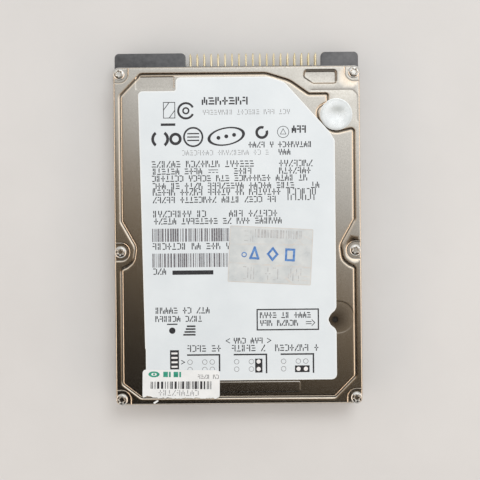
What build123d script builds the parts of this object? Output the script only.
from build123d import *

import os
from math import cos, radians, sin

os.makedirs("parts", exist_ok=True)


def around(x, y, radius, angle):
    """The point at this radius and angle about (x, y)."""
    return (x + radius * cos(radians(angle)), y + radius * sin(radians(angle)))


# ---------------------------------------------------------------------------
# Driving dimensions, in millimetres and degrees.
# +X is the drive's width, +Y its length towards the connector, +Z up to the label.
# The origin is at the centre of the underside.
# ---------------------------------------------------------------------------

# Envelope
drive_width = 69.85
drive_length = 100.2
drive_height = 9.5
pin_reach = 4.7  # pin tips ahead of the casting's front face
corner_r = 1.6

# Mounting holes, M3
hole_r = 1.25
hole_depth = 2.3
bottom_spacing_x = 61.72
front_hole_inset = 14.0  # from the connector end
rear_hole_inset = 90.6
side_hole_z = 3.0
hole_boss_r = 3.1

# Casting
rear_wall = 1.6
rear_lip = 2.4
rail_width = 2.52
deck_recess = 0.8
floor_thickness = 0.9
chamber_side_x = 31.6
chamber_left_x = 30.5
chamber_front_inset = 6.4  # chamber edge behind the casting's front face
chamber_corner_r = 4.0
arm_pocket_overlap = 12.0  # the arm's pocket starts this far ahead of the spindle

# Cover, a stamped steel sheet with a raised field and lowered screw tabs
cover_margin = 0.2
sheet = 0.5
flange_drop = 0.4  # flange top below the highest point of the drive
field_rise = 0.2
tab_drop = 0.2
tab_r = 2.45
gasket_width = 0.8
gasket_thickness = 0.35
field_side_inset = 2.1
field_front_inset = 2.3
field_rear_inset = 1.95
field_corner_cut = 5.8
field_step = 5.9  # the field's front edge falls back by this much beside the seal
scallop_r = 4.1  # the field keeps this far from the middle screws
seal_inset_x, seal_inset_y = 6.9, 13.9  # from the side and from the casting's front face
seal_r = 4.5
port_r = 3.0
seal_clearance = 0.7
breather_inset_x, breather_inset_y = 7.8, 23.8  # from the side and from the rear face
breather_r = 0.85
breather_filter_r = 3.4
breather_filter_thickness = 1.0

# Label and foil
label_thickness = 0.08
label_left_inset, label_right_inset = 7.225, 7.425
label_front_inset, label_rear_inset = 3.2, 7.0
label_notch = (10.6, 3.8)
label_step = (1.5, 9.0)
breather_notch_r = 1.9
foil_thickness = 0.06

# Cover screws
screw_edge_x = 1.82
front_screw_inset = 2.0
middle_screw_offset = 8.8  # ahead of the spindle
rear_screw_inset = 1.7
screw_head_r = 1.65
screw_shank_r = 0.7
screw_depth = 3.2
screw_boss_r = 1.0
screw_hole_gap = 0.15

# Spindle and platter
platter_r = 32.5
platter_bore_r = 10.0
platter_thickness = 0.635
platter_z = 5.7
platter_gap = 0.4
hub_fit = 0.02
shaft_r = 1.5
running_fit = 0.03
sleeve_r = 3.2
bracket_r = 11.8
bracket_boss_r = 3.9
bracket_z = 0.9
bracket_top = 2.4
rotor_r = 11.2
rotor_skirt = 1.0
rotor_magnet_depth = 1.0
rotor_bottom = 2.9
air_gap = 0.4
stator_teeth = 9
clamp_r = 11.3
clamp_thickness = 0.6
clamp_screw_circle_r = 7.6
clamp_screw_count = 4
clamp_screw_r = 0.6
clamp_screw_depth = 0.9
cap_thickness = 0.35
sleeve_top = 4.9
stator_z = 3.2
stator_thickness = 0.8
stator_ring_r = 5.2
tooth_width = 1.0
coil_build = 0.5
coil_mid_r = 6.7
stator_coil_length = 2.2
motor_flex_size = (5.0, 6.0)
motor_flex_thickness = 0.08
hub_boss_r = 5.3
hub_flange = 0.6
clamp_head_r = 1.2
clamp_head = 0.45

# Actuator
pivot_x = 17.0
pivot_from_spindle_y = 37.1
arm_length = 34.0
arm_reach = 23.0
arm_park_angle = 193.0
arm_thickness = 0.6
arm_root_half = 4.2
arm_tip_half = 2.3
block_r = 5.6
block_bottom = 4.3
block_height = 3.4
pivot_shaft_r = 2.2
pivot_sleeve_r = 4.2
bearing_r = 3.4
bearing_height = 1.1
suspension = 0.12
slider_height = 0.3
fly_gap = 0.115
lift_tab_reach = 37.3
lift_tab_half = 0.35
beam_half = 2.1
slider_size = (1.25, 1.0)
preamp_size = (2.2, 1.6)
preamp_height = 0.4
preamp_from_tip = 6.5
pivot_head_r = 1.8
coil_reach = 13.2
coil_half = 4.9
coil_thickness = 1.0
coil_z = 5.5
coil_root = 5.0
coil_root_half = 3.3
coil_corner_r = 1.2
coil_rim = 0.8
coil_winding = 1.7

# Screws inside the chamber
inner_screw_r = 0.7
inner_screw_head_r = 1.3
inner_screw_head = 0.5
inner_screw_depth = 0.6

# Load ramp, flex bracket, latch and filters
ramp_from, ramp_to = 184.0, 194.0
ramp_inner_r = 35.0
ramp_post_r = 38.2
ramp_outer_r = 42.4
ramp_height = 4.0
tab_gap = 0.1
bracket_x = -2.0
bracket_from_front = 4.5
bracket_length = 15.6
bracket_depth = 4.2
bracket_height = 1.4
bracket_screw_x = 6.1
flex_opening = (9.0, 2.6)
flex_r = 6.5
flex_thickness = 0.15
flex_width = 2.6
flex_sweep = 101.0
latch_post_r = 0.9
latch_fit = 0.05
latch_reach = 6.2
latch_inset_x, latch_inset_y = 3.2, 2.8  # from the chamber's side and front
filter_size = (2.0, 7.0, 4.2)
desiccant_size = (8.0, 7.0, 3.2)
wall_gap = 0.4

# Voice-coil motor
yoke_outer_r = 15.0
yoke_inner_r = 6.3
yoke_thickness = 0.8
magnet_thickness = 0.75
magnet_gap = 0.35
yoke_from, yoke_to = -26.0, 86.0
magnet_from, magnet_to = -8.0, 67.0
yoke_post_r = 1.4
yoke_post_circle_r = 12.5
yoke_post_angles = (-18.0, 78.0)
stop_r = 1.0
stop_circle_r = 9.0
stop_angles = (-23.0, 82.5)

# Circuit board
board_z = 0.6
board_thickness = 0.7
board_gap = 0.4
board_overhang = 0.2  # the board runs this far past the casting's face
motor_island_r = 14.0
bay_rear_from_spindle = 1.6
board_screw_x = 28.6
board_screws_from_spindle = (23.6, 43.6)
board_screw_r = 0.8
board_screw_head_r = 1.7
board_screw_head = 0.45
board_screw_depth = 1.5
standoff_r = 1.9
chip_height = 0.8
component_height = 0.6
component_fields = ((-14.0, 43.6), (12.0, 40.6))  # centre x, and y from the spindle
chips = {  # centre x, y from the spindle, then width and depth
    "controller_chip": (-9.0, 31.6, 14.0, 14.0),
    "motor_driver_chip": (13.0, 19.6, 9.0, 9.0),
    "memory_chip": (-18.0, 16.6, 8.0, 10.0),
    "flash_chip": (14.0, 32.6, 6.0, 5.0),
}
insulator_half_width = 26.0
insulator_from_spindle = (6.6, 45.6)
insulator_thickness = 0.2
film_gap = 0.05  # between the chips, the insulator and the casting

# Connector: 22 columns of two pins and two columns of jumper pins, 2 mm pitch
pin_pitch = 2.0
pin_size = 0.5
pin_columns = 22
first_pin_x = -17.215
jumper_x = -23.215
key_column = 9
lower_row_z = 2.99
upper_row_z = 4.99
header_length = 52.0
header_depth = 3.4
header_proud = 0.7
header_top = 5.5
tail_gap = 0.6  # the lower pins' tails stand this far behind the header
tail_stagger = 0.75
bay_gap = 0.4
tip_length = 0.6
tip_taper = 18.0
guard_gap = 0.05
guard_thickness = 0.75
guard_clearance = 0.15
ear_tip_setback = 0.2  # ears' front edges behind the pin tips
left_ear_x = -14.5
right_ear_x = 24.1
ear_margin = 0.1
ear_corner_r = 1.3
leg_width = 1.3

# Stickers
asset_size = (21.9, 8.3)
asset_inset = (11.35, -1.0)  # from the label's rear left corner
asset_turn = -1.0
film_size = (23.6, 16.0)
film_centre = (9.1, -8.1)
film_turn = -3.2

# ---------------------------------------------------------------------------
# Levels and centres worked out from them
# ---------------------------------------------------------------------------

half_width = drive_width / 2
front_y = drive_length / 2
rear_y = -drive_length / 2
face_y = front_y - pin_reach
body_length = face_y - rear_y
body_y = (face_y + rear_y) / 2
rail_x = half_width - rail_width

flange_top = drive_height - flange_drop
flange_bottom = flange_top - sheet
field_top = flange_top + field_rise
tab_top = flange_top - tab_drop
tab_bottom = tab_top - sheet
cover_width = drive_width - 2 * cover_margin
wall_top = flange_bottom - gasket_thickness

chamber_r = platter_r + platter_gap
spindle_y = rear_y + rear_wall + chamber_r
pivot_y = spindle_y + pivot_from_spindle_y
chamber_front_y = face_y - chamber_front_inset

hole_ys = (front_y - front_hole_inset, front_y - rear_hole_inset)
hole_points = [(x * bottom_spacing_x / 2, y) for x in (-1, 1) for y in hole_ys]
screw_x = half_width - screw_edge_x
screw_ys = (face_y - front_screw_inset, spindle_y + middle_screw_offset, rear_y + rear_screw_inset)
screw_points = [(side * screw_x, y) for side in (-1, 1) for y in screw_ys]

seal_x = half_width - seal_inset_x
seal_y = face_y - seal_inset_y
breather_x = half_width - breather_inset_x
breather_y = rear_y + breather_inset_y
label_left = -half_width + label_left_inset
label_right = half_width - label_right_inset
label_front = face_y - label_front_inset
label_rear = rear_y + label_rear_inset

board_top = board_z + board_thickness
insulator_z = board_top + chip_height + film_gap
bay_ceiling = insulator_z + insulator_thickness + film_gap
floor_top = bay_ceiling + floor_thickness
bay_rear_y = spindle_y + bay_rear_from_spindle
board_screw_ys = [spindle_y + distance for distance in board_screws_from_spindle]
board_screw_points = [(side * board_screw_x, y) for side in (-1, 1) for y in board_screw_ys]
last_pin_x = first_pin_x + (pin_columns - 1) * pin_pitch
header_x = (jumper_x + last_pin_x) / 2
header_front_y = face_y + header_proud
header_rear_y = header_front_y - header_depth
lower_tail_y = header_rear_y - tail_gap
upper_tail_y = lower_tail_y - tail_stagger
header_bay_rear_y = upper_tail_y - pin_size / 2 - bay_gap
guard_z = header_top + guard_gap
header_bay_top = guard_z + guard_thickness + guard_clearance

lower_arm_z = platter_z - fly_gap - slider_height - suspension - arm_thickness
platter_top = platter_z + platter_thickness
upper_arm_z = platter_top + fly_gap + slider_height + suspension
upper_yoke_z = coil_z + coil_thickness + magnet_gap + magnet_thickness
lower_magnet_z = floor_top + yoke_thickness
upper_magnet_z = upper_yoke_z - magnet_thickness
rotor_top = platter_top + clamp_thickness
hub_underside = platter_z - hub_flange
magnet_inner_r = rotor_r - rotor_skirt - rotor_magnet_depth
stator_r = magnet_inner_r - air_gap
clamp_screw_points = [
    around(0, spindle_y, clamp_screw_circle_r, 45 + step * 360 / clamp_screw_count)
    for step in range(clamp_screw_count)
]
post_points = [around(pivot_x, pivot_y, yoke_post_circle_r, angle) for angle in yoke_post_angles]
stop_points = [around(pivot_x, pivot_y, stop_circle_r, angle) for angle in stop_angles]
ramp_middle = (ramp_from + ramp_to) / 2
ramp_screw_point = around(pivot_x, pivot_y, (ramp_post_r + ramp_outer_r) / 2 + 0.2, ramp_middle)
pivot_top = upper_yoke_z + 0.3
bracket_y = chamber_front_y - bracket_from_front
latch_x = chamber_side_x - latch_inset_x
latch_y = chamber_front_y - latch_inset_y
bracket_screw_points = [(bracket_x + side * bracket_screw_x, bracket_y) for side in (-1, 1)]
chamber_screw_points = [*post_points, (pivot_x, pivot_y), ramp_screw_point, *bracket_screw_points]


def chamber_outline():
    """Adds the sealed chamber's plan to the sketch: the disc's round well and the arm's pocket."""
    with Locations((0, spindle_y)):
        Circle(chamber_r)
    with BuildLine() as pocket:
        FilletPolyline(
            (-chamber_left_x, spindle_y + arm_pocket_overlap),
            (-chamber_left_x, chamber_front_y),
            (chamber_side_x, chamber_front_y),
            (chamber_side_x, spindle_y + arm_pocket_overlap),
            radius=chamber_corner_r,
            close=True,
        )
    make_face(pocket.edges())


def tab_areas(growth=0.0):
    """Adds the six screw tabs to the sketch, grown all round by growth and cut at the cover's edge."""
    reach = tab_r + growth
    for x, y in screw_points:
        side = 1 if x > 0 else -1
        with Locations((x, y)):
            Circle(reach)
        with Locations((side * (screw_x + reach / 2), y)):
            Rectangle(reach, 2 * reach)
    corner_screws = [(point, 1) for point in screw_points[::3]] + [(point, -1) for point in screw_points[2::3]]
    for (x, y), ahead in corner_screws:
        with Locations((x, y + ahead * reach / 2)):
            Rectangle(2 * reach, reach)
    with Locations((0, body_y)):
        Rectangle(cover_width, body_length - 2 * cover_margin, mode=Mode.INTERSECT)


def field_outline(inset=0.0):
    """Adds the cover's raised field to the sketch, cut back at the corners, seal and middle screws."""
    side_x = half_width - field_side_inset - inset
    front = face_y - field_front_inset - inset
    rear = rear_y + field_rear_inset + inset
    step_y = front - field_step
    hook_x = seal_x - seal_r / 2 - inset
    below_seal_y = seal_y - 0.7 * seal_r - inset
    with BuildLine() as outline:
        FilletPolyline(
            (-side_x, front - field_corner_cut),
            (-side_x + field_corner_cut, front),
            (seal_x - 4.3 * seal_r, front),
            (seal_x - 2.8 * seal_r, front - field_step / 2),
            (seal_x - 1.8 * seal_r - inset, step_y),
            (hook_x, step_y),
            (hook_x, seal_y),
            (seal_x, below_seal_y),
            (side_x, below_seal_y),
            (side_x, rear + field_corner_cut),
            (side_x - field_corner_cut, rear),
            (-side_x + field_corner_cut, rear),
            (-side_x, rear + field_corner_cut),
            radius=(1.6, 1.6, 5.0, 5.0, 2.0, 0.6, 0.6, 0.6, 0.9, 1.6, 1.6, 1.6, 1.6),
            close=True,
        )
    make_face(outline.edges())
    with Locations((seal_x, seal_y)):
        Circle(seal_r + seal_clearance + inset, mode=Mode.SUBTRACT)
    for side in (-1, 1):
        y = screw_ys[1]
        near_x = screw_x - scallop_r - inset
        with BuildLine() as scallop:
            FilletPolyline(
                (side * (half_width + 1), y + 2.5 * scallop_r + inset),
                (side * near_x, y + scallop_r / 2),
                (side * near_x, y - scallop_r / 2),
                (side * (near_x + scallop_r / 2), y - scallop_r - inset),
                (side * (half_width + 1), y - scallop_r - inset),
                radius=1.5,
                close=True,
            )
        make_face(scallop.edges(), mode=Mode.SUBTRACT)


def sector(inner_r, outer_r, start, end):
    """Adds a ring sector about the arm's pivot to the sketch, kept clear of the chamber's side wall."""
    with BuildLine() as ring:
        CenterArc((pivot_x, pivot_y), outer_r, start, end - start)
        CenterArc((pivot_x, pivot_y), inner_r, start, end - start)
        for angle in (start, end):
            Line(around(pivot_x, pivot_y, inner_r, angle), around(pivot_x, pivot_y, outer_r, angle))
    make_face(ring.edges())
    with Locations((chamber_side_x - wall_gap - drive_width / 2, pivot_y)):
        Rectangle(drive_width, drive_width, mode=Mode.INTERSECT)


def arm_plane(z):
    """A plane at height z on the pivot, its X axis along the parked arm."""
    direction = around(0, 0, 1, arm_park_angle)
    return Plane(origin=(pivot_x, pivot_y, z), x_dir=(*direction, 0), z_dir=(0, 0, 1))


def forward_plane(y, z):
    """A plane facing the connector end, its X axis across the drive and its Y axis down."""
    return Plane(origin=(0, y, z), x_dir=(1, 0, 0), z_dir=(0, 1, 0))


def discs(points, radius, bottom, top, mode=Mode.ADD):
    """Adds, or cuts, one upright cylinder at each point."""
    with BuildSketch(Plane.XY.offset(bottom), mode=Mode.PRIVATE) as plan:
        with Locations(*points):
            Circle(radius)
    extrude(plan.sketch, amount=top - bottom, mode=mode)


def screws(points, seat, tip, shank_r, head_r, head_height):
    """Adds one pan-head screw at each point, from its tip through its seat, with a cross recess."""
    top = seat + head_height
    discs(points, shank_r, min(seat, tip), max(seat, tip))
    discs(points, head_r, min(seat, top), max(seat, top))
    with BuildSketch(Plane.XY.offset(top), mode=Mode.PRIVATE) as recess:
        with Locations(*points):
            Rectangle(head_r * 1.1, head_r * 0.28)
            Rectangle(head_r * 0.28, head_r * 1.1)
    extrude(recess.sketch, amount=-head_height * 0.6, mode=Mode.SUBTRACT)


# ---------------------------------------------------------------------------
# Base casting: rails and board bay below, sealed chamber above
# ---------------------------------------------------------------------------

with BuildPart() as base_casting:
    with BuildSketch():
        with Locations((0, body_y)):
            RectangleRounded(drive_width, body_length, corner_r)
    extrude(amount=wall_top)
    # Sealed chamber
    with BuildSketch(Plane.XY.offset(floor_top)):
        chamber_outline()
    extrude(amount=wall_top - floor_top, mode=Mode.SUBTRACT)
    # Bosses that the cover's tabs seat on
    discs(screw_points, screw_boss_r, wall_top, tab_bottom)
    # Board bay, open at the connector end, round the motor's island and the mounting bosses
    with BuildSketch():
        with Locations((0, (bay_rear_y + face_y + 1) / 2)):
            Rectangle(2 * rail_x, face_y + 1 - bay_rear_y)
        with Locations((0, spindle_y)):
            Circle(motor_island_r, mode=Mode.SUBTRACT)
        with Locations(*hole_points):
            Circle(hole_boss_r, mode=Mode.SUBTRACT)
    extrude(amount=bay_ceiling, mode=Mode.SUBTRACT)
    # Shallow recess under the rear deck and the motor's island
    with BuildSketch():
        with Locations((0, (rear_y + rear_lip + bay_rear_y) / 2)):
            Rectangle(2 * rail_x, bay_rear_y - rear_y - rear_lip)
        with Locations((0, spindle_y)):
            Circle(motor_island_r)
        with Locations(*hole_points):
            Circle(hole_boss_r, mode=Mode.SUBTRACT)
    extrude(amount=deck_recess, mode=Mode.SUBTRACT)
    # Bay for the pin header and its guard
    with BuildSketch():
        with Locations((header_x, (header_bay_rear_y + face_y + 1) / 2)):
            Rectangle(header_length + 1.0, face_y + 1 - header_bay_rear_y)
    extrude(amount=header_bay_top, mode=Mode.SUBTRACT)
    # Standoffs for the circuit board
    discs(board_screw_points, standoff_r, board_top, bay_ceiling)
    # Openings for the motor and for the head connector
    discs([(0, spindle_y)], bracket_r, 0, floor_top, mode=Mode.SUBTRACT)
    with BuildSketch():
        with Locations((bracket_x, bracket_y)):
            Rectangle(*flex_opening)
    extrude(amount=floor_top, mode=Mode.SUBTRACT)
    # Blind M3 mounting holes, in the underside and in both sides
    discs(hole_points, hole_r, 0, hole_depth, mode=Mode.SUBTRACT)
    for side in (-1, 1):
        with BuildSketch(Plane(origin=(side * half_width, 0, 0), x_dir=(0, 1, 0), z_dir=(-side, 0, 0))):
            with Locations(*[(y, -side * side_hole_z) for y in hole_ys]):
                Circle(hole_r)
        extrude(amount=hole_depth, mode=Mode.SUBTRACT)
    # Threaded holes for the object's own screws
    discs(screw_points, screw_shank_r, tab_bottom - screw_depth, tab_bottom, mode=Mode.SUBTRACT)
    discs(board_screw_points, board_screw_r, board_top, board_top + board_screw_depth, mode=Mode.SUBTRACT)
    discs(chamber_screw_points, inner_screw_r, floor_top - inner_screw_depth, floor_top, mode=Mode.SUBTRACT)
base_casting.part.label = "base_casting"
export_step(base_casting.part, "parts/base_casting.step")

# ---------------------------------------------------------------------------
# Cover, gasket and what is stuck on the cover
# ---------------------------------------------------------------------------

with BuildPart() as top_cover:
    # Flange-level sheet, open at the screw tabs
    with BuildSketch(Plane.XY.offset(flange_bottom)):
        with Locations((0, body_y)):
            RectangleRounded(cover_width, body_length - 2 * cover_margin, corner_r)
        with BuildSketch(mode=Mode.SUBTRACT):
            tab_areas()
    extrude(amount=sheet)
    # Lowered tabs, each with a wall round it
    with BuildSketch(Plane.XY.offset(tab_bottom)):
        tab_areas(sheet)
    extrude(amount=sheet)
    # Raised field, hollow below like the rest of the sheet
    with BuildSketch(Plane.XY.offset(flange_top)):
        field_outline()
    extrude(amount=field_rise)
    with BuildSketch(Plane.XY.offset(flange_bottom)):
        field_outline(inset=sheet)
    extrude(amount=field_rise, mode=Mode.SUBTRACT)
    # Breather hole, port under the seal, screw holes
    discs([(breather_x, breather_y)], breather_r, flange_bottom, field_top, mode=Mode.SUBTRACT)
    discs([(seal_x, seal_y)], port_r, flange_bottom, flange_top, mode=Mode.SUBTRACT)
    discs(screw_points, screw_shank_r + screw_hole_gap, tab_bottom, tab_top, mode=Mode.SUBTRACT)
top_cover.part.label = "top_cover"
export_step(top_cover.part, "parts/top_cover.step")

with BuildPart() as cover_gasket:
    with BuildSketch(Plane.XY.offset(wall_top)):
        chamber_outline()
        offset(amount=gasket_width)
        with BuildSketch(mode=Mode.SUBTRACT):
            chamber_outline()
        with Locations(*screw_points):
            Circle(screw_boss_r + 0.05, mode=Mode.SUBTRACT)
    extrude(amount=gasket_thickness)
    with BuildSketch(Plane.XY.offset(tab_bottom)):
        tab_areas(sheet)
    extrude(amount=gasket_thickness, mode=Mode.SUBTRACT)
cover_gasket.part.label = "cover_gasket"
export_step(cover_gasket.part, "parts/cover_gasket.step")

with BuildPart() as cover_screws:
    screws(screw_points, tab_top, tab_bottom - screw_depth, screw_shank_r, screw_head_r, drive_height - tab_top)
cover_screws.part.label = "cover_screws"
export_step(cover_screws.part, "parts/cover_screws.step")

with BuildPart() as cover_label:
    notch_width, notch_depth = label_notch
    step_width, step_length = label_step
    with BuildSketch(Plane.XY.offset(field_top)):
        with BuildLine():
            FilletPolyline(
                (label_left, label_front - notch_depth),
                (label_left + notch_width, label_front - notch_depth),
                (label_left + notch_width, label_front),
                (seal_x - 4.3 * seal_r, label_front),
                (seal_x - 3.2 * seal_r, label_front - notch_depth / 3),
                (seal_x - 2.2 * seal_r, seal_y + seal_r),
                (label_right - seal_r / 2, seal_y - 0.75 * seal_r),
                (label_right, seal_y - 1.5 * seal_r),
                (label_right, label_rear),
                (label_left + step_width, label_rear),
                (label_left + step_width, label_rear + step_length),
                (label_left, label_rear + step_length + 1.3 * step_width),
                radius=(1.2, 0.6, 1.2, 2.0, 4.0, 6.0, 3.0, 2.0, 1.5, 1.5, 0.8, 0.8),
                close=True,
            )
        make_face()
        with Locations((breather_x, breather_y)):
            Circle(breather_notch_r, mode=Mode.SUBTRACT)
    extrude(amount=label_thickness)
cover_label.part.label = "cover_label"
export_step(cover_label.part, "parts/cover_label.step")

with BuildPart() as port_seal:
    discs([(seal_x, seal_y)], seal_r, flange_top, flange_top + foil_thickness)
port_seal.part.label = "port_seal"
export_step(port_seal.part, "parts/port_seal.step")

with BuildPart() as asset_sticker:
    with BuildSketch(Plane.XY.offset(field_top + label_thickness)):
        with Locations(Location((label_left + asset_inset[0], label_rear + asset_inset[1]), asset_turn)):
            Rectangle(*asset_size)
    extrude(amount=foil_thickness)
asset_sticker.part.label = "asset_sticker"
export_step(asset_sticker.part, "parts/asset_sticker.step")

with BuildPart() as film_sticker:
    with BuildSketch(Plane.XY.offset(field_top + label_thickness)):
        with Locations(Location(film_centre, film_turn)):
            Rectangle(*film_size)
    extrude(amount=foil_thickness)
film_sticker.part.label = "film_sticker"
export_step(film_sticker.part, "parts/film_sticker.step")

with BuildPart() as breather_filter:
    filter_top = flange_bottom + field_rise
    discs([(breather_x, breather_y)], breather_filter_r, filter_top - breather_filter_thickness, filter_top)
breather_filter.part.label = "breather_filter"
export_step(breather_filter.part, "parts/breather_filter.step")

# ---------------------------------------------------------------------------
# Circuit board and what is soldered or screwed to it
# ---------------------------------------------------------------------------

with BuildPart() as circuit_board:
    with BuildSketch(Plane.XY.offset(board_z)):
        board_rear_y = bay_rear_y + board_gap
        with Locations((0, (board_rear_y + face_y + board_overhang) / 2)):
            Rectangle(2 * (rail_x - board_gap), face_y + board_overhang - board_rear_y)
        with Locations((0, spindle_y)):
            Circle(motor_island_r + board_gap, mode=Mode.SUBTRACT)
        with Locations(*hole_points):
            Circle(hole_boss_r + board_gap, mode=Mode.SUBTRACT)
        with Locations(*board_screw_points):
            Circle(board_screw_r, mode=Mode.SUBTRACT)
    extrude(amount=board_thickness)
circuit_board.part.label = "circuit_board"
export_step(circuit_board.part, "parts/circuit_board.step")

with BuildPart() as board_screws:
    screws(
        board_screw_points, board_z, board_top + board_screw_depth,
        board_screw_r, board_screw_head_r, -board_screw_head,
    )
board_screws.part.label = "board_screws"
export_step(board_screws.part, "parts/board_screws.step")

for name, (x, y, width, depth) in chips.items():
    with BuildPart() as chip:
        with BuildSketch(Plane.XY.offset(board_top)):
            with Locations((x, spindle_y + y)):
                Rectangle(width, depth)
        extrude(amount=chip_height)
        chamfer(chip.edges().group_by(Axis.Z)[-1], length=0.15)
    chip.part.label = name
    export_step(chip.part, f"parts/{name}.step")

with BuildPart() as board_components:
    with BuildSketch(Plane.XY.offset(board_top)):
        with Locations(*[(x, spindle_y + y) for x, y in component_fields]):
            with GridLocations(3.0, 2.4, 7, 2):
                Rectangle(1.6, 0.8)
    extrude(amount=component_height)
board_components.part.label = "board_components"
export_step(board_components.part, "parts/board_components.step")

with BuildPart() as board_insulator:
    insulator_rear, insulator_front = insulator_from_spindle
    with BuildSketch(Plane.XY.offset(insulator_z)):
        with Locations((0, spindle_y + (insulator_rear + insulator_front) / 2)):
            RectangleRounded(2 * insulator_half_width, insulator_front - insulator_rear, 1.0)
        with Locations((0, spindle_y)):
            Circle(motor_island_r + 2 * board_gap, mode=Mode.SUBTRACT)
    extrude(amount=insulator_thickness)
board_insulator.part.label = "board_insulator"
export_step(board_insulator.part, "parts/board_insulator.step")

with BuildPart() as head_connector:
    with BuildSketch(Plane.XY.offset(board_top)):
        with Locations((bracket_x, bracket_y)):
            Rectangle(flex_opening[0] - 0.2, flex_opening[1] - 0.2)
    extrude(amount=floor_top - board_top)
head_connector.part.label = "head_connector"
export_step(head_connector.part, "parts/head_connector.step")

# ---------------------------------------------------------------------------
# Pin header and its guard
# ---------------------------------------------------------------------------

column_xs = [first_pin_x + column * pin_pitch for column in range(pin_columns)]
jumper_xs = [jumper_x, jumper_x + pin_pitch]
lower_xs = jumper_xs + [x for column, x in enumerate(column_xs) if column != key_column]
upper_xs = jumper_xs + column_xs
pin_rows = ((lower_row_z, lower_tail_y, lower_xs), (upper_row_z, upper_tail_y, upper_xs))

with BuildPart() as header_body:
    with BuildSketch(Plane.XY.offset(board_top)):
        with Locations((header_x, (header_front_y + header_rear_y) / 2)):
            Rectangle(header_length, header_depth)
    extrude(amount=header_top - board_top)
    for row_z, tail_y, xs in pin_rows:
        with BuildSketch(forward_plane(header_rear_y, row_z)):
            with Locations(*[(x, 0) for x in xs]):
                Rectangle(pin_size, pin_size)
        extrude(amount=header_depth, mode=Mode.SUBTRACT)
header_body.part.label = "header_body"
export_step(header_body.part, "parts/header_body.step")

with BuildPart() as header_pins:
    for row_z, tail_y, xs in pin_rows:
        row = [(x, 0) for x in xs]
        shank_end_y = front_y - tip_length
        with BuildSketch(forward_plane(tail_y - pin_size / 2, row_z)):
            with Locations(*row):
                Rectangle(pin_size, pin_size)
        extrude(amount=shank_end_y - tail_y + pin_size / 2)
        with BuildSketch(forward_plane(shank_end_y, row_z)):
            with Locations(*row):
                Rectangle(pin_size, pin_size)
        extrude(amount=tip_length, taper=tip_taper)
        with BuildSketch(Plane.XY.offset(board_top)):
            with Locations(*[(x, tail_y) for x in xs]):
                Rectangle(pin_size, pin_size)
        extrude(amount=row_z - board_top)
header_pins.part.label = "header_pins"
export_step(header_pins.part, "parts/header_pins.step")

with BuildPart() as connector_guard:
    ear_rear_y = face_y + ear_margin
    ear_front_y = front_y - ear_tip_setback
    outer_x = half_width - ear_margin
    ears = ((-outer_x, left_ear_x), (right_ear_x, outer_x))
    with BuildSketch(Plane.XY.offset(guard_z)):
        for near, far in ears:
            with Locations(((near + far) / 2, (ear_rear_y + ear_front_y) / 2)):
                Rectangle(far - near, ear_front_y - ear_rear_y)
        fillet(vertices().group_by(Axis.Y)[-1], radius=ear_corner_r)
        with Locations((header_x, (header_front_y + header_rear_y) / 2)):
            Rectangle(header_length, header_depth)
    extrude(amount=guard_thickness)
    # A leg down the outer side of each ear
    with BuildSketch(Plane.XY.offset(guard_z)):
        for side in (-1, 1):
            with Locations((side * (outer_x - leg_width / 2), (ear_rear_y + ear_front_y - ear_corner_r) / 2)):
                Rectangle(leg_width, ear_front_y - ear_rear_y - ear_corner_r)
    extrude(amount=board_top - guard_z)
connector_guard.part.label = "connector_guard"
export_step(connector_guard.part, "parts/connector_guard.step")

# ---------------------------------------------------------------------------
# Spindle motor: what stays still
# ---------------------------------------------------------------------------

with BuildPart() as motor_bracket:
    discs([(0, spindle_y)], bracket_r, bracket_z, bracket_top)
    discs([(0, spindle_y)], bracket_boss_r + 0.7, bracket_top, stator_z)
    discs([(0, spindle_y)], bracket_boss_r, stator_z, sleeve_top)
    discs([(0, spindle_y)], sleeve_r, bracket_z, sleeve_top, mode=Mode.SUBTRACT)
motor_bracket.part.label = "motor_bracket"
export_step(motor_bracket.part, "parts/motor_bracket.step")

with BuildPart() as spindle_sleeve:
    discs([(0, spindle_y)], sleeve_r, bracket_z + 2 * cap_thickness, sleeve_top)
    discs([(0, spindle_y)], shaft_r + running_fit, bracket_z + 2 * cap_thickness, sleeve_top, mode=Mode.SUBTRACT)
spindle_sleeve.part.label = "spindle_sleeve"
export_step(spindle_sleeve.part, "parts/spindle_sleeve.step")

with BuildPart() as thrust_cap:
    discs([(0, spindle_y)], sleeve_r, bracket_z + cap_thickness, bracket_z + 2 * cap_thickness)
thrust_cap.part.label = "thrust_cap"
export_step(thrust_cap.part, "parts/thrust_cap.step")

with BuildPart() as stator_core:
    with BuildSketch(Plane.XY.offset(stator_z)):
        with Locations((0, spindle_y)):
            Circle(stator_ring_r)
            with PolarLocations((stator_ring_r + stator_r) / 2 - 0.2, stator_teeth):
                Rectangle(stator_r - stator_ring_r, tooth_width)
            Circle(bracket_boss_r, mode=Mode.SUBTRACT)
    extrude(amount=stator_thickness)
stator_core.part.label = "stator_core"
export_step(stator_core.part, "parts/stator_core.step")

with BuildPart() as stator_coils:
    with BuildSketch(Plane.XY.offset(stator_z - coil_build)):
        with Locations((0, spindle_y)):
            with PolarLocations(coil_mid_r, stator_teeth):
                Rectangle(stator_coil_length, tooth_width + 2 * coil_build)
    extrude(amount=stator_thickness + 2 * coil_build)
    with BuildSketch(Plane.XY.offset(stator_z)):
        with Locations((0, spindle_y)):
            with PolarLocations(coil_mid_r, stator_teeth):
                Rectangle(stator_coil_length + 0.2, tooth_width)
    extrude(amount=stator_thickness, mode=Mode.SUBTRACT)
stator_coils.part.label = "stator_coils"
export_step(stator_coils.part, "parts/stator_coils.step")

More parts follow.
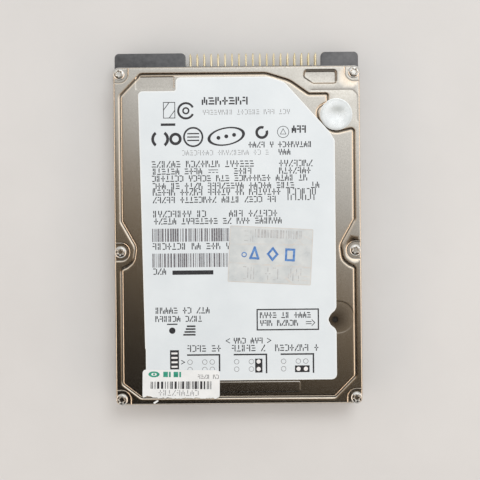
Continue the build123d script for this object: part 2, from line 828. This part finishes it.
with BuildPart() as motor_flex:
    with BuildSketch(Plane.XY.offset(deck_recess - motor_flex_thickness)):
        with Locations((0, spindle_y + motor_island_r - motor_flex_size[1] / 2)):
            Rectangle(*motor_flex_size)
    extrude(amount=motor_flex_thickness)
motor_flex.part.label = "motor_flex"
export_step(motor_flex.part, "parts/motor_flex.step")

# ---------------------------------------------------------------------------
# Spindle: what turns
# ---------------------------------------------------------------------------

with BuildPart() as rotor_hub:
    with BuildSketch(Plane.XZ.offset(-spindle_y)):
        with BuildLine():
            Polyline(
                (shaft_r, hub_underside),
                (rotor_r - rotor_skirt, hub_underside),
                (rotor_r - rotor_skirt, rotor_bottom),
                (rotor_r, rotor_bottom),
                (rotor_r, platter_z),
                (platter_bore_r - hub_fit, platter_z),
                (platter_bore_r - hub_fit, platter_top),
                (hub_boss_r, platter_top),
                (hub_boss_r, rotor_top),
                (shaft_r, rotor_top),
                close=True,
            )
        make_face()
    revolve(axis=Axis((0, spindle_y, 0), (0, 0, 1)))
    discs(clamp_screw_points, clamp_screw_r, platter_top - clamp_screw_depth, platter_top, mode=Mode.SUBTRACT)
rotor_hub.part.label = "rotor_hub"
export_step(rotor_hub.part, "parts/rotor_hub.step")

with BuildPart() as rotor_magnet:
    discs([(0, spindle_y)], rotor_r - rotor_skirt, rotor_bottom + 0.1, hub_underside - 0.1)
    discs([(0, spindle_y)], magnet_inner_r, rotor_bottom + 0.1, hub_underside - 0.1, mode=Mode.SUBTRACT)
rotor_magnet.part.label = "rotor_magnet"
export_step(rotor_magnet.part, "parts/rotor_magnet.step")

with BuildPart() as spindle_shaft:
    discs([(0, spindle_y)], shaft_r, bracket_z + 2 * cap_thickness + 0.05, rotor_top)
spindle_shaft.part.label = "spindle_shaft"
export_step(spindle_shaft.part, "parts/spindle_shaft.step")

with BuildPart() as platter:
    discs([(0, spindle_y)], platter_r, platter_z, platter_top)
    discs([(0, spindle_y)], platter_bore_r, platter_z, platter_top, mode=Mode.SUBTRACT)
platter.part.label = "platter"
export_step(platter.part, "parts/platter.step")

with BuildPart() as disk_clamp:
    discs([(0, spindle_y)], clamp_r, platter_top, rotor_top)
    discs([(0, spindle_y)], hub_boss_r + hub_fit, platter_top, rotor_top, mode=Mode.SUBTRACT)
    discs(clamp_screw_points, clamp_screw_r, platter_top, rotor_top, mode=Mode.SUBTRACT)
disk_clamp.part.label = "disk_clamp"
export_step(disk_clamp.part, "parts/disk_clamp.step")

with BuildPart() as clamp_screws:
    screws(clamp_screw_points, rotor_top, platter_top - clamp_screw_depth, clamp_screw_r, clamp_head_r, clamp_head)
clamp_screws.part.label = "clamp_screws"
export_step(clamp_screws.part, "parts/clamp_screws.step")

# ---------------------------------------------------------------------------
# Voice-coil motor: yokes, magnets, posts and stops
# ---------------------------------------------------------------------------

for name, z in (("lower_yoke", floor_top), ("upper_yoke", upper_yoke_z)):
    with BuildPart() as yoke:
        with BuildSketch(Plane.XY.offset(z)):
            sector(yoke_inner_r, yoke_outer_r, yoke_from, yoke_to)
            with Locations(*post_points):
                Circle(inner_screw_r, mode=Mode.SUBTRACT)
        extrude(amount=yoke_thickness)
    yoke.part.label = name
    export_step(yoke.part, f"parts/{name}.step")

for name, z in (("lower_magnet", lower_magnet_z), ("upper_magnet", upper_magnet_z)):
    with BuildPart() as magnet:
        with BuildSketch(Plane.XY.offset(z)):
            sector(yoke_inner_r + 1.0, yoke_outer_r - 1.2, magnet_from, magnet_to)
        extrude(amount=magnet_thickness)
    magnet.part.label = name
    export_step(magnet.part, f"parts/{name}.step")

with BuildPart() as yoke_posts:
    discs(post_points, yoke_post_r, lower_magnet_z, upper_yoke_z)
    discs(post_points, inner_screw_r, lower_magnet_z, upper_yoke_z, mode=Mode.SUBTRACT)
yoke_posts.part.label = "yoke_posts"
export_step(yoke_posts.part, "parts/yoke_posts.step")

with BuildPart() as yoke_screws:
    discs(post_points, inner_screw_r, floor_top - inner_screw_depth, upper_yoke_z + yoke_thickness)
yoke_screws.part.label = "yoke_screws"
export_step(yoke_screws.part, "parts/yoke_screws.step")

with BuildPart() as crash_stops:
    discs(stop_points, stop_r, lower_magnet_z, upper_yoke_z)
crash_stops.part.label = "crash_stops"
export_step(crash_stops.part, "parts/crash_stops.step")

# ---------------------------------------------------------------------------
# Actuator: pivot, arms, coil, suspensions and heads, parked on the ramp
# ---------------------------------------------------------------------------

with BuildPart() as pivot_shaft:
    discs([(pivot_x, pivot_y)], pivot_shaft_r, floor_top, pivot_top)
    discs([(pivot_x, pivot_y)], inner_screw_r, floor_top, pivot_top, mode=Mode.SUBTRACT)
pivot_shaft.part.label = "pivot_shaft"
export_step(pivot_shaft.part, "parts/pivot_shaft.step")

with BuildPart() as pivot_screw:
    pivot_tip = floor_top - inner_screw_depth
    screws([(pivot_x, pivot_y)], pivot_top, pivot_tip, inner_screw_r, pivot_head_r, inner_screw_head)
pivot_screw.part.label = "pivot_screw"
export_step(pivot_screw.part, "parts/pivot_screw.step")

sleeve_bottom = block_bottom - 0.3
pivot_sleeve_top = block_bottom + block_height + 0.2
with BuildPart() as pivot_sleeve:
    discs([(pivot_x, pivot_y)], pivot_sleeve_r, sleeve_bottom, pivot_sleeve_top)
    discs([(pivot_x, pivot_y)], bearing_r, sleeve_bottom, pivot_sleeve_top, mode=Mode.SUBTRACT)
pivot_sleeve.part.label = "pivot_sleeve"
export_step(pivot_sleeve.part, "parts/pivot_sleeve.step")

with BuildPart() as pivot_bearings:
    for z in (sleeve_bottom, pivot_sleeve_top - bearing_height):
        discs([(pivot_x, pivot_y)], bearing_r, z, z + bearing_height)
    discs([(pivot_x, pivot_y)], pivot_shaft_r + running_fit, sleeve_bottom, pivot_sleeve_top, mode=Mode.SUBTRACT)
pivot_bearings.part.label = "pivot_bearings"
export_step(pivot_bearings.part, "parts/pivot_bearings.step")

with BuildPart() as arm_block:
    with BuildSketch(arm_plane(block_bottom)):
        Circle(block_r)
    extrude(amount=block_height)
    with BuildSketch(arm_plane(lower_arm_z), arm_plane(upper_arm_z)):
        with BuildLine():
            Polyline(
                (0, -arm_root_half), (arm_reach, -arm_tip_half), (arm_reach, arm_tip_half), (0, arm_root_half),
                close=True,
            )
        make_face()
        with Locations((block_r + 6.0, 0)):
            SlotOverall(8.0, 2.6, mode=Mode.SUBTRACT)
    extrude(amount=arm_thickness)
    with BuildSketch(arm_plane(block_bottom)):
        Circle(pivot_sleeve_r)
    extrude(amount=block_height, mode=Mode.SUBTRACT)
arm_block.part.label = "arm_block"
export_step(arm_block.part, "parts/arm_block.step")


def coil_outline(inset):
    """Adds the voice coil's plan, a rounded trapezium behind the pivot, drawn in by inset."""
    with BuildLine() as outline:
        FilletPolyline(
            (-coil_root - inset, -coil_root_half + inset),
            (-coil_reach + inset, -coil_half + inset),
            (-coil_reach + inset, coil_half - inset),
            (-coil_root - inset, coil_root_half - inset),
            radius=max(coil_corner_r - inset / 2, 0.3),
            close=True,
        )
    make_face(outline.edges())


with BuildPart() as coil_frame:
    with BuildSketch(arm_plane(coil_z)):
        coil_outline(0)
        with Locations((-coil_root, 0)):
            Rectangle(2 * coil_corner_r + 2.0, 2 * coil_root_half)
        with BuildSketch(mode=Mode.SUBTRACT):
            coil_outline(coil_rim)
        Circle(block_r, mode=Mode.SUBTRACT)
    extrude(amount=coil_thickness)
coil_frame.part.label = "coil_frame"
export_step(coil_frame.part, "parts/coil_frame.step")

with BuildPart() as voice_coil:
    with BuildSketch(arm_plane(coil_z)):
        coil_outline(coil_rim)
        with BuildSketch(mode=Mode.SUBTRACT):
            coil_outline(coil_rim + coil_winding)
        Circle(block_r, mode=Mode.SUBTRACT)
    extrude(amount=coil_thickness)
voice_coil.part.label = "voice_coil"
export_step(voice_coil.part, "parts/voice_coil.step")

beam_levels = (
    ("lower_suspension", lower_arm_z + arm_thickness),
    ("upper_suspension", upper_arm_z - suspension),
)
for name, z in beam_levels:
    with BuildPart() as load_beam:
        with BuildSketch(arm_plane(z)):
            with BuildLine():
                Polyline(
                    (arm_reach - 3.4, -beam_half), (arm_reach + 0.4, -beam_half), (arm_length - 0.6, -0.8),
                    (arm_length + 1.3, -lift_tab_half), (lift_tab_reach, -lift_tab_half),
                    (lift_tab_reach, lift_tab_half), (arm_length + 1.3, lift_tab_half),
                    (arm_length - 0.6, 0.8), (arm_reach + 0.4, beam_half), (arm_reach - 3.4, beam_half),
                    close=True,
                )
            make_face()
        extrude(amount=suspension)
    load_beam.part.label = name
    export_step(load_beam.part, f"parts/{name}.step")

slider_levels = (
    ("lower_slider", lower_arm_z + arm_thickness + suspension),
    ("upper_slider", upper_arm_z - suspension - slider_height),
)
for name, z in slider_levels:
    with BuildPart() as slider:
        with BuildSketch(arm_plane(z)):
            with Locations((arm_length, 0)):
                Rectangle(*slider_size)
        extrude(amount=slider_height)
    slider.part.label = name
    export_step(slider.part, f"parts/{name}.step")

with BuildPart() as preamp_chip:
    with BuildSketch(arm_plane(upper_arm_z + arm_thickness)):
        with Locations((arm_reach - preamp_from_tip, 0)):
            Rectangle(*preamp_size)
    extrude(amount=preamp_height)
preamp_chip.part.label = "preamp_chip"
export_step(preamp_chip.part, "parts/preamp_chip.step")

# ---------------------------------------------------------------------------
# Ramp, flex, latch and filters
# ---------------------------------------------------------------------------

with BuildPart() as load_ramp:
    blade_bottom = lower_arm_z + arm_thickness + suspension + tab_gap
    blade_top = upper_arm_z - suspension - tab_gap
    with BuildSketch(Plane.XY.offset(floor_top)):
        sector(ramp_post_r, ramp_outer_r, ramp_from, ramp_to)
    extrude(amount=ramp_height)
    with BuildSketch(Plane.XY.offset(blade_bottom)):
        sector(ramp_inner_r, ramp_post_r + 0.2, ramp_from, ramp_to)
    extrude(amount=blade_top - blade_bottom)
    discs([ramp_screw_point], inner_screw_r, floor_top, floor_top + ramp_height, mode=Mode.SUBTRACT)
load_ramp.part.label = "load_ramp"
export_step(load_ramp.part, "parts/load_ramp.step")

with BuildPart() as flex_bracket:
    with BuildSketch(Plane.XY.offset(floor_top)):
        with Locations((bracket_x, bracket_y)):
            RectangleRounded(bracket_length, bracket_depth, 1.0)
    extrude(amount=bracket_height)
    discs(bracket_screw_points, inner_screw_r, floor_top, floor_top + bracket_height, mode=Mode.SUBTRACT)
flex_bracket.part.label = "flex_bracket"
export_step(flex_bracket.part, "parts/flex_bracket.step")

with BuildPart() as chamber_screws:
    for points, height in (([ramp_screw_point], ramp_height), (bracket_screw_points, bracket_height)):
        screws(points, floor_top + height, floor_top - inner_screw_depth,
               inner_screw_r, inner_screw_head_r, inner_screw_head)
chamber_screws.part.label = "chamber_screws"
export_step(chamber_screws.part, "parts/chamber_screws.step")

with BuildPart() as head_flex_cable:
    flex_x = pivot_x - 5.8
    flex_y = pivot_y + 10.0
    outer = flex_r + flex_thickness / 2
    inner = flex_r - flex_thickness / 2
    top_y = bracket_y - bracket_depth / 2 + 0.5
    with BuildSketch(Plane.XY.offset(floor_top + bracket_height)):
        with BuildLine():
            CenterArc((flex_x, flex_y), outer, 180, flex_sweep)
            CenterArc((flex_x, flex_y), inner, 180, flex_sweep)
            Line(around(flex_x, flex_y, inner, 180 + flex_sweep), around(flex_x, flex_y, outer, 180 + flex_sweep))
            Polyline(
                (flex_x - outer, flex_y), (flex_x - outer, top_y), (flex_x - inner, top_y), (flex_x - inner, flex_y)
            )
        make_face()
    extrude(amount=flex_width)
head_flex_cable.part.label = "head_flex_cable"
export_step(head_flex_cable.part, "parts/head_flex_cable.step")

with BuildPart() as latch_post:
    discs([(latch_x, latch_y)], latch_post_r, floor_top, coil_z + coil_thickness + 0.5)
latch_post.part.label = "latch_post"
export_step(latch_post.part, "parts/latch_post.step")

with BuildPart() as inertia_latch:
    with BuildSketch(Plane.XY.offset(coil_z - 0.1)):
        with Locations((latch_x, latch_y)):
            Circle(2 * latch_post_r)
        with Locations((latch_x - latch_reach / 2, latch_y + 0.5)):
            RectangleRounded(latch_reach, 1.4, 0.5)
        with Locations((latch_x, latch_y)):
            Circle(latch_post_r + latch_fit, mode=Mode.SUBTRACT)
    extrude(amount=coil_thickness + 0.2)
inertia_latch.part.label = "inertia_latch"
export_step(inertia_latch.part, "parts/inertia_latch.step")

with BuildPart() as recirculation_filter:
    with BuildSketch(Plane.XY.offset(floor_top)):
        with Locations(Location((-chamber_left_x + 3.2, pivot_y + 1.5), 20)):
            RectangleRounded(*filter_size[:2], 0.6)
    extrude(amount=filter_size[2])
recirculation_filter.part.label = "recirculation_filter"
export_step(recirculation_filter.part, "parts/recirculation_filter.step")

with BuildPart() as desiccant_pack:
    with BuildSketch(Plane.XY.offset(floor_top)):
        with Locations((-chamber_left_x + 6.2, chamber_front_y - 6.0)):
            RectangleRounded(*desiccant_size[:2], 1.2)
    extrude(amount=desiccant_size[2])
    fillet(desiccant_pack.edges().group_by(Axis.Z)[-1], radius=0.5)
desiccant_pack.part.label = "desiccant_pack"
export_step(desiccant_pack.part, "parts/desiccant_pack.step")
